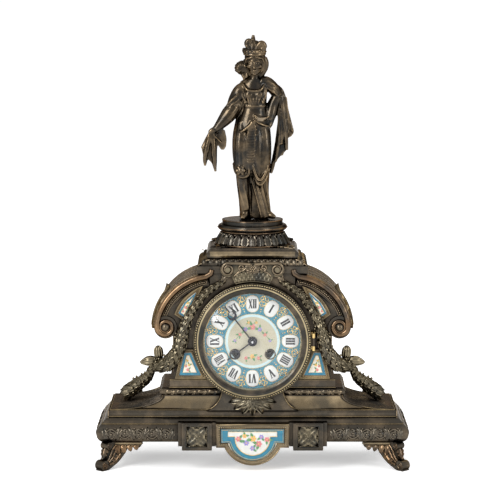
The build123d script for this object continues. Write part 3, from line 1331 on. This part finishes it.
with BuildPart() as escape_wheel:
    add(arbor(ESCAPE, PIVOT_RADIUS))
    add(gear(ESCAPE, 19.0, 22.0, ESCAPE_LEAVES, ESCAPE_MODULE, mate_angle(ESCAPE, THIRD, ESCAPE_LEAVES)))
    with BuildSketch(front(9.0)):
        with BuildLine():
            points = []
            for tooth in range(ESCAPE_TEETH):
                for share, reach in ((0.0, ESCAPE_ROOT_RADIUS), (0.45, ESCAPE_RADIUS), (0.6, ESCAPE_ROOT_RADIUS)):
                    turn = 2 * math.pi * (tooth + share) / ESCAPE_TEETH
                    points.append((ESCAPE[0] + reach * math.cos(turn), DIAL_HEIGHT + ESCAPE[1] + reach * math.sin(turn)))
            Polyline(*points, close=True)
        make_face()
    extrude(amount=1.0)
save(escape_wheel, "escape_wheel")

# Anchor with its arbor and crutch; the pallets stay clear of the escape wheel over the whole swing
PALLET_ANGLE = 50.0
PALLET_REACH = 9.9
PALLET_WIDTH = 1.6
ANCHOR_HUB_RADIUS = 2.0
ANCHOR_BACK = 8.4
ANCHOR_FRONT = 10.6
CRUTCH_BACK = -8.2
CRUTCH_FRONT = -6.8
CRUTCH_END = (0.0, 16.0)
CRUTCH_WIDTH = 2.0
FORK_PIN_X = 1.75
FORK_PIN_RADIUS = 0.45
FORK_PIN_END = -13.0
CRUTCH_FORK_WIDTH = 5.2
PENDULUM_FORWARD = -11.0
ROD_RADIUS = 1.2
with BuildPart() as anchor:
    add(rod(ANCHOR, CRUTCH_BACK, FRONT_PLATE_FRONT, PIVOT_RADIUS))
    add(rod(ANCHOR, ANCHOR_BACK, ANCHOR_FRONT, ANCHOR_HUB_RADIUS))
    for side in (-1, 1):
        turn = math.radians(PALLET_ANGLE)
        reach = PALLET_REACH + PALLET_WIDTH / 2
        tip = (ESCAPE[0] + side * reach * math.sin(turn), ESCAPE[1] + reach * math.cos(turn))
        add(bar(ANCHOR, tip, ANCHOR_BACK, ANCHOR_FRONT, PALLET_WIDTH))
    add(bar(ANCHOR, CRUTCH_END, CRUTCH_BACK, CRUTCH_FRONT, CRUTCH_WIDTH))
    fork = CRUTCH_END[1]
    add(bar((-FORK_PIN_X, fork), (FORK_PIN_X, fork), CRUTCH_BACK, CRUTCH_FRONT, CRUTCH_WIDTH))
    for x in (-FORK_PIN_X, FORK_PIN_X):
        add(rod((x, fork), FORK_PIN_END, CRUTCH_BACK, FORK_PIN_RADIUS))
save(anchor, "anchor")

# Suspension block on the back plate, with its spring, and the pendulum below it
SUSPENSION_WIDTH = 8.0
SUSPENSION_HEIGHT = 3.0
SPRING_THICKNESS = 0.4
SPRING_DEPTH = 2.4
ROD_TOP = ANCHOR[1] - 1.0
SPRING_END = ROD_TOP + 0.4
SUSPENSION_FOOT = ANCHOR[1] + 1.4
BOB = (0.0, -58.0)
BOB_RADIUS = 13.5
BOB_HALF_DEPTH = 4.0
RATING_NUT_RADIUS = 2.6
RATING_NUT_TOP = BOB[1] - BOB_RADIUS
RATING_NUT_HEIGHT = 3.0


def box(low, high, back, fore):
    """Block between two corners measured from the middle of the dial."""
    with BuildPart() as block:
        with BuildSketch(front(back)):
            with Locations(((low[0] + high[0]) / 2, DIAL_HEIGHT + (low[1] + high[1]) / 2)):
                Rectangle(high[0] - low[0], high[1] - low[1])
        extrude(amount=fore - back)
    return block.part


with BuildPart() as suspension_block:
    half = SUSPENSION_WIDTH / 2
    block_top = SUSPENSION_FOOT + SUSPENSION_HEIGHT
    add(box((-half, SUSPENSION_FOOT), (half, block_top), PENDULUM_FORWARD - SPRING_DEPTH, BACK_PLATE_BACK))
    strip = SPRING_THICKNESS / 2
    reach = SPRING_DEPTH / 2
    add(box((-strip, SPRING_END), (strip, block_top), PENDULUM_FORWARD - reach, PENDULUM_FORWARD + reach))
save(suspension_block, "suspension_block")
with BuildPart() as pendulum:
    with BuildSketch(Plane.XY.offset(DIAL_HEIGHT + RATING_NUT_TOP - 2 * RATING_NUT_HEIGHT)):
        with Locations((0, -PENDULUM_FORWARD)):
            Circle(ROD_RADIUS)
    extrude(amount=ROD_TOP - RATING_NUT_TOP + 2 * RATING_NUT_HEIGHT)
    with BuildSketch(Plane.XY.offset(DIAL_HEIGHT + RATING_NUT_TOP - RATING_NUT_HEIGHT)):
        with Locations((0, -PENDULUM_FORWARD)):
            Circle(RATING_NUT_RADIUS)
    extrude(amount=RATING_NUT_HEIGHT)
    add(rod(BOB, PENDULUM_FORWARD - BOB_HALF_DEPTH, PENDULUM_FORWARD + BOB_HALF_DEPTH, BOB_RADIUS))
save(pendulum, "pendulum")

# Motion work behind the dial, then the hands at the time in the picture
MINUTE_TEETH = 36
MINUTE_LEAVES = 10
HOUR_TEETH = 40
HOUR_MODULE = 0.48
HOUR_BACK = 37.0
HOUR_FRONT = 38.5
HOUR_TUBE_RADIUS = 2.9
HOUR_HAND_BACK = FACE + 6.0
HOUR_HAND_FRONT = FACE + 6.8
TUBE_RUNNING = 0.06
with BuildPart() as minute_wheel:
    add(gear(MINUTE_STUD, 33.4, 35.4, MINUTE_TEETH, CANNON_MODULE, mate_angle(MINUTE_STUD, CENTRE, MINUTE_TEETH)))
    add(gear(MINUTE_STUD, 35.4, 39.0, MINUTE_LEAVES, HOUR_MODULE, toward(MINUTE_STUD, CENTRE)))
    add(rod(MINUTE_STUD, 33.4, 39.0, MINUTE_STUD_RADIUS + PIVOT_RUNNING), mode=Mode.SUBTRACT)
save(minute_wheel, "minute_wheel")
with BuildPart() as hour_wheel:
    add(gear(CENTRE, HOUR_BACK, HOUR_FRONT, HOUR_TEETH, HOUR_MODULE, mate_angle(CENTRE, MINUTE_STUD, HOUR_TEETH)))
    add(rod(CENTRE, HOUR_FRONT, HOUR_HAND_BACK, HOUR_TUBE_RADIUS))
    add(rod(CENTRE, HOUR_BACK, HOUR_HAND_BACK, CANNON_TUBE_RADIUS + TUBE_RUNNING), mode=Mode.SUBTRACT)
save(hour_wheel, "hour_wheel")
MINUTE_ANGLE = 127.7
HOUR_ANGLE = 216.9
HAND_WIDTH = 1.2
MINUTE_HAND_LENGTH = 44.0
MINUTE_DISC = 33.0
HOUR_HAND_LENGTH = 31.0
HOUR_DISC = 21.5
HAND_DISC_RADIUS = 4.6
HAND_DISC_HOLE = 3.0
HAND_HUB_RADIUS = 4.6


def hand(angle, back, fore, length, disc, bore):
    """Hand with a pierced disc, pointing along an angle."""
    turn = math.radians(angle)

    def along(distance):
        return distance * math.cos(turn), distance * math.sin(turn)

    with BuildPart() as pointer:
        add(bar(CENTRE, along(length), back, fore, HAND_WIDTH))
        add(rod(CENTRE, back, fore, HAND_HUB_RADIUS))
        add(rod(along(disc), back, fore, HAND_DISC_RADIUS))
        add(rod(along(disc + HAND_WIDTH), back, fore, HAND_DISC_HOLE), mode=Mode.SUBTRACT)
        add(rod(CENTRE, back, fore, bore), mode=Mode.SUBTRACT)
    return pointer.part


with BuildPart() as minute_hand:
    add(hand(MINUTE_ANGLE, MINUTE_HAND_BACK, MINUTE_HAND_FRONT, MINUTE_HAND_LENGTH, MINUTE_DISC, CENTRE_RADIUS))
save(minute_hand, "minute_hand")
with BuildPart() as hour_hand:
    hour_bore = CANNON_TUBE_RADIUS + TUBE_RUNNING
    add(hand(HOUR_ANGLE, HOUR_HAND_BACK, HOUR_HAND_FRONT, HOUR_HAND_LENGTH, HOUR_DISC, hour_bore))
save(hour_hand, "hour_hand")
HAND_NUT_RADIUS = 3.0
with BuildPart() as hand_nut:
    add(rod(CENTRE, MINUTE_HAND_FRONT, CANNON_END, HAND_NUT_RADIUS))
    add(rod(CENTRE, MINUTE_HAND_FRONT, CANNON_END, CENTRE_RADIUS), mode=Mode.SUBTRACT)
save(hand_nut, "hand_nut")

# Strike train: intermediate wheel, pin wheel and fly, with the hammer they lift
STRIKE_MODULE = 0.3
STRIKE_TEETH = 54
STRIKE_LEAVES = 8
PIN_TEETH = 44
PIN_COUNT = 8
PIN_CIRCLE = 4.6
PIN_RADIUS = 0.5
FLY_HALF_WIDTH = 5.5
FLY_THICKNESS = 0.8
COUNT_WHEEL_RADIUS = 9.5
COUNT_WHEEL_BACK = -6.5
COUNT_WHEEL_FRONT = -5.0
with BuildPart() as strike_intermediate_wheel:
    add(arbor(STRIKE_INTERMEDIATE))
    add(rod(STRIKE_INTERMEDIATE, COUNT_WHEEL_BACK, BACK_PLATE_BACK, PIVOT_RADIUS))
    add(rod(STRIKE_INTERMEDIATE, COUNT_WHEEL_BACK, COUNT_WHEEL_FRONT, COUNT_WHEEL_RADIUS))
    leaf = mate_angle(STRIKE_INTERMEDIATE, STRIKE_BARREL, INTERMEDIATE_LEAVES)
    add(gear(STRIKE_INTERMEDIATE, 2.4, 7.2, INTERMEDIATE_LEAVES, GREAT_MODULE, leaf))
    aim = toward(STRIKE_INTERMEDIATE, PIN_WHEEL)
    add(gear(STRIKE_INTERMEDIATE, 24.2, 25.2, STRIKE_TEETH, STRIKE_MODULE, aim))
save(strike_intermediate_wheel, "strike_intermediate_wheel")
with BuildPart() as pin_wheel:
    add(arbor(PIN_WHEEL, PIVOT_RADIUS))
    leaf = mate_angle(PIN_WHEEL, STRIKE_INTERMEDIATE, STRIKE_LEAVES)
    add(gear(PIN_WHEEL, 23.6, 25.8, STRIKE_LEAVES, STRIKE_MODULE, leaf))
    add(gear(PIN_WHEEL, 26.6, 27.6, PIN_TEETH, STRIKE_MODULE, toward(PIN_WHEEL, FLY)))
    for pin in range(PIN_COUNT):
        turn = 2 * math.pi * pin / PIN_COUNT
        place = (PIN_WHEEL[0] + PIN_CIRCLE * math.cos(turn), PIN_WHEEL[1] + PIN_CIRCLE * math.sin(turn))
        add(rod(place, 27.6, 29.2, PIN_RADIUS))
save(pin_wheel, "pin_wheel")
with BuildPart() as fly:
    add(arbor(FLY, PIVOT_RADIUS))
    add(gear(FLY, 26.2, 28.0, STRIKE_LEAVES, STRIKE_MODULE, mate_angle(FLY, PIN_WHEEL, STRIKE_LEAVES)))
    blade = (FLY[0] - FLY_HALF_WIDTH, FLY[1] - FLY_THICKNESS / 2)
    add(box(blade, (FLY[0] + FLY_HALF_WIDTH, FLY[1] + FLY_THICKNESS / 2), 5.0, 18.0))
save(fly, "fly")
HAMMER_HEAD = (15.1, 22.0)
HAMMER_ARM_BACK = -19.0
HAMMER_ARM_FRONT = -17.0
HAMMER_ARM_WIDTH = 1.6
HAMMER_HEAD_RADIUS = 2.4
HAMMER_HEAD_LOW = 19.6
HAMMER_HEAD_HIGH = 25.5
HAMMER_TAIL = (-27.6, 13.9)
with BuildPart() as hammer:
    add(rod(HAMMER, HAMMER_ARM_BACK, FRONT_PLATE_FRONT, PIVOT_RADIUS))
    add(bar(HAMMER, HAMMER_HEAD, HAMMER_ARM_BACK, HAMMER_ARM_FRONT, HAMMER_ARM_WIDTH))
    add(bar(HAMMER, HAMMER_TAIL, 28.2, 29.2, HAMMER_ARM_WIDTH))
    add(knuckle(HAMMER_HEAD[0], (HAMMER_ARM_BACK + HAMMER_ARM_FRONT) / 2, HAMMER_HEAD_LOW, HAMMER_HEAD_HIGH,
                HAMMER_HEAD_RADIUS))
save(hammer, "hammer")

# Rear ring in the back bore with the hinge of the rear door, and the straps that tie it to the casing ring
REAR_FLANGE_BACK = -FACE - 2.0
REAR_INNER = 43.8
REAR_FLANGE_OUTER = 54.0
REAR_TUBE_FRONT = -FACE + 6.0
REAR_HINGE_X = 55.8
REAR_HINGE_FORWARD = -FACE - 4.2
STRAP_INNER = 43.8
STRAP_OUTER = 46.4
STRAP_HALF_HEIGHT = 4.0
with BuildPart() as rear_ring:
    add(tube(REAR_FLANGE_BACK, -FACE, REAR_INNER, REAR_FLANGE_OUTER))
    add(tube(-FACE, REAR_TUBE_FRONT, REAR_INNER, TUBE_OUTER))
    for low, high in ((KNUCKLE_HALF + KNUCKLE_GAP, KNUCKLE_TOP), (-KNUCKLE_TOP, -KNUCKLE_HALF - KNUCKLE_GAP)):
        base = REAR_FLANGE_OUTER - 2 * KNUCKLE_RADIUS
        add(box((base, low), (REAR_HINGE_X + KNUCKLE_RADIUS / 2, high), REAR_FLANGE_BACK, -FACE))
        add(knuckle_arm(REAR_HINGE_X, REAR_HINGE_FORWARD, -FACE, low, high))
        add(knuckle(REAR_HINGE_X, REAR_HINGE_FORWARD, low, high, KNUCKLE_RADIUS))
    add(knuckle(REAR_HINGE_X, REAR_HINGE_FORWARD, -KNUCKLE_TOP, KNUCKLE_TOP, HINGE_PIN_RADIUS))
save(rear_ring, "rear_ring")
with BuildPart() as casing_straps:
    for side in (-1, 1):
        low = (min(side * STRAP_INNER, side * STRAP_OUTER), -STRAP_HALF_HEIGHT)
        high = (max(side * STRAP_INNER, side * STRAP_OUTER), STRAP_HALF_HEIGHT)
        add(box(low, high, REAR_TUBE_FRONT, TUBE_BACK))
save(casing_straps, "casing_straps")
REAR_DOOR_RADIUS = 52.5
REAR_DOOR_FRONT = REAR_FLANGE_BACK - 0.4
REAR_DOOR_BACK = -FACE - 4.2
REAR_KNOB_X = -46.0
REAR_KNOB_RADIUS = 3.0
REAR_KNOB_LENGTH = 6.0
with BuildPart() as rear_door:
    add(rod(CENTRE, REAR_DOOR_BACK, REAR_DOOR_FRONT, REAR_DOOR_RADIUS))
    add(rod((REAR_KNOB_X, 0), REAR_DOOR_BACK - REAR_KNOB_LENGTH, REAR_DOOR_BACK, REAR_KNOB_RADIUS))
    low = (REAR_DOOR_RADIUS - 2 * KNUCKLE_RADIUS, -KNUCKLE_HALF)
    add(box(low, (REAR_HINGE_X, KNUCKLE_HALF), REAR_HINGE_FORWARD, REAR_HINGE_FORWARD + KNUCKLE_RADIUS))
    add(knuckle(REAR_HINGE_X, REAR_HINGE_FORWARD, -KNUCKLE_HALF, KNUCKLE_HALF, KNUCKLE_RADIUS))
    pin_hole = HINGE_PIN_RADIUS + HINGE_RUNNING
    add(knuckle(REAR_HINGE_X, REAR_HINGE_FORWARD, -KNUCKLE_TOP, KNUCKLE_TOP, pin_hole), mode=Mode.SUBTRACT)
save(rear_door, "rear_door")
